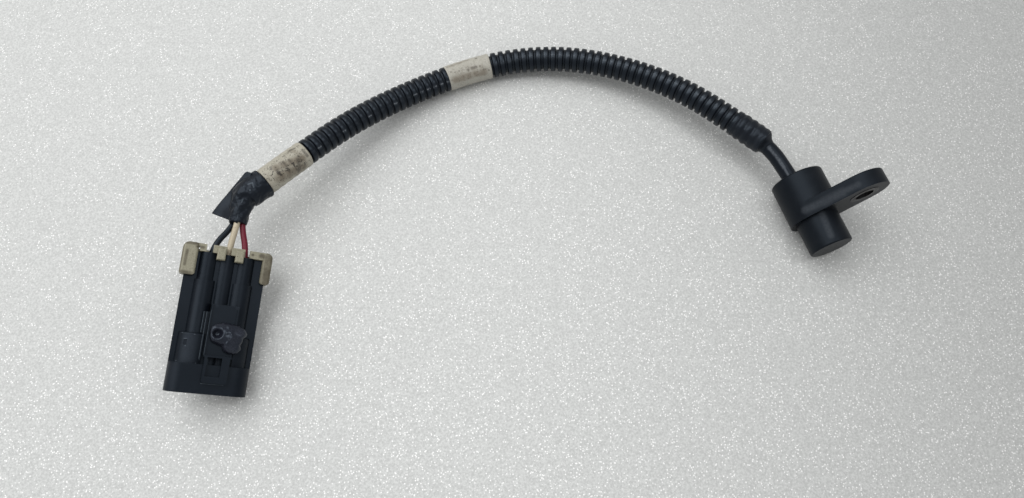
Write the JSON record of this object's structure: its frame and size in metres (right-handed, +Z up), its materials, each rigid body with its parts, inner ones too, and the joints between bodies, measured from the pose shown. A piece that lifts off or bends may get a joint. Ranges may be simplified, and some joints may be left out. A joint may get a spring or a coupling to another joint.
{
  "type": "speed pickup sensor",
  "caption": "Speed pickup sensor with a round probe, bolt ear, corrugated pigtail lead and flat multi-way plug, lying as it rests.",
  "frame": {"origin": "on the probe's axis, in the plane of the flange face that seats on the machine", "axes": "-Y along the probe towards its tip, +X towards the side the ear leans to, +Z up from the bench"},
  "size_m": [0.2707, 0.1264, 0.0316],
  "materials": {
    "housing_plastic": "satin black moulding, scuffed where the ear joins the body",
    "bushing_steel": "plated steel, slightly tarnished",
    "carrier_plastic": "plain moulding",
    "chip_epoxy": "moulded epoxy",
    "flux_steel": "bare steel",
    "magnet_alloy": "nickel plated",
    "board_laminate": "green solder mask",
    "capacitor_ceramic": "fired ceramic",
    "lead_metal": "tinned",
    "potting_resin": "cast resin",
    "cable_sleeve": "smooth black sleeve",
    "black_tape": "black vinyl tape",
    "conduit_plastic": "black corrugated conduit",
    "white_tape_clean": "white tape with light grime",
    "white_tape_scuffed": "white tape with diagonal grime",
    "wire_black": "black insulation",
    "wire_white": "off-white insulation, grimed",
    "wire_red": "dark red insulation",
    "plug_plastic": "black moulding",
    "lock_plastic": "off-white moulding, grimed brown",
    "terminal_metal": "tin plated",
    "seal_rubber": "moulded rubber",
    "retainer_plastic": "milky grey plastic, crumpled"
  },
  "bodies": {
    "root": {"sensor_housing": "housing_plastic", "mounting_bushing": "bushing_steel", "chip_carrier": "carrier_plastic", "hall_chip": "chip_epoxy", "flux_plate": "flux_steel", "bias_magnet": "magnet_alloy", "circuit_board": "board_laminate", "board_capacitors": "capacitor_ceramic", "chip_leads": "lead_metal", "potting_fill": "potting_resin", "sensor_cable": "cable_sleeve", "sensor_end_tape": "black_tape", "corrugated_conduit": "conduit_plastic", "white_tape_mid": "white_tape_clean", "white_tape_rear": "white_tape_scuffed", "connector_end_tape": "black_tape", "wire_black": "wire_black", "wire_white": "wire_white", "wire_red": "wire_red", "connector_housing": "plug_plastic", "terminal_lock": "lock_plastic", "terminal_black": "terminal_metal", "terminal_white": "terminal_metal", "terminal_red": "terminal_metal", "seal_black": "seal_rubber", "seal_white": "seal_rubber", "seal_red": "seal_rubber", "retainer_button": "retainer_plastic"}
  },
  "joints": []
}
